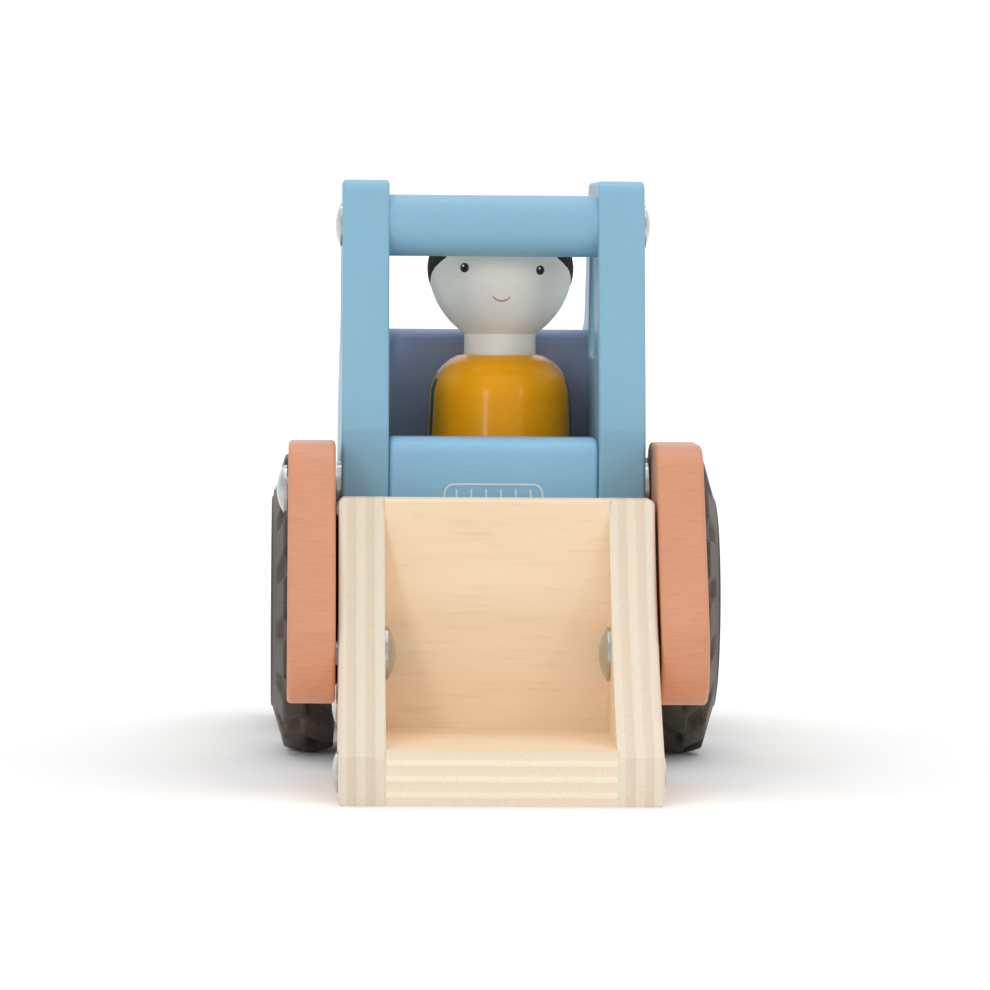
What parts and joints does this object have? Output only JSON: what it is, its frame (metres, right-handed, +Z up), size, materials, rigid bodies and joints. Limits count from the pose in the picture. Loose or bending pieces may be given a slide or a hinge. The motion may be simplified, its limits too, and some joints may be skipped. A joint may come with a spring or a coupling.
{
  "type": "toy wheel loader",
  "caption": "Wooden toy wheel loader with a plywood bucket on two lift arms, an open cab with a peg driver, and chunky rubber tyres.",
  "frame": {"origin": "on the ground, in the middle of the length and the width", "axes": "+Z up, +Y from the bucket to the rear, +X across, to the right when seen from the front"},
  "size_m": [0.0988, 0.2416, 0.127],
  "materials": {
    "blue_paint": "satin paint on plywood",
    "body_paint": "satin paint",
    "chassis_wood": "bare beech",
    "arm_paint": "satin paint on plywood",
    "plywood": "clear matt varnish",
    "steel": "bright zinc",
    "washer_plastic": "matt",
    "tyre": "matt rubber",
    "hub_wood": "clear matt varnish",
    "doll_paint": "gloss paint",
    "doll_face": "satin paint"
  },
  "bodies": {
    "body": {"side_frame_left": "blue_paint", "side_frame_right": "blue_paint", "front_block": "blue_paint", "chassis_block": "chassis_wood", "rear_body": "body_paint", "joint_dowels": "chassis_wood", "roof_bar": "blue_paint", "roof_bar_bolts": "steel", "arm_pivot_rod": "steel", "arm_pivot_nut": "steel", "arm_washers": "steel"},
    "lift_arms": {"lift_arm_left": "arm_paint", "lift_arm_right": "arm_paint"},
    "bucket": {"bucket_side_left": "plywood", "bucket_side_right": "plywood", "bucket_floor": "plywood", "bucket_back": "plywood", "bucket_screws": "steel", "bucket_pivot_bolts": "steel", "bucket_pivot_nuts": "steel"},
    "front_wheels": {"front_axle": "steel", "front_axle_caps": "steel", "front_axle_washers": "washer_plastic", "front_tyre_left": "tyre", "front_tyre_right": "tyre", "front_hub_left": "hub_wood", "front_hub_right": "hub_wood"},
    "rear_wheels": {"rear_axle": "steel", "rear_axle_caps": "steel", "rear_axle_washers": "washer_plastic", "rear_tyre_left": "tyre", "rear_tyre_right": "tyre", "rear_hub_left": "hub_wood", "rear_hub_right": "hub_wood"},
    "doll": {"doll_body": "doll_paint", "doll_head": "doll_face", "doll_neck_peg": "chassis_wood"}
  },
  "joints": [
    {"name": "front_roll", "type": "hinge", "parent": "body", "child": "front_wheels", "pos_m": [0, 0.0092, 0.0336], "axis": [1, 0, 0], "continuous": true},
    {"name": "rear_roll", "type": "hinge", "parent": "body", "child": "rear_wheels", "pos_m": [0, 0.0892, 0.0316], "axis": [1, 0, 0], "continuous": true},
    {"name": "arm_lift", "type": "hinge", "parent": "body", "child": "lift_arms", "pos_m": [0, -0.0448, 0.0608], "axis": [-1, 0, 0], "range_deg": [0, 55]},
    {"name": "bucket_tilt", "type": "hinge", "parent": "lift_arms", "child": "bucket", "pos_m": [0, -0.086, 0.0286], "axis": [-1, 0, 0], "range_deg": [-35, 18]},
    {"name": "doll_lift", "type": "slide", "parent": "body", "child": "doll", "axis": [0, 0, 1], "range_m": [0, 0.08]}
  ]
}
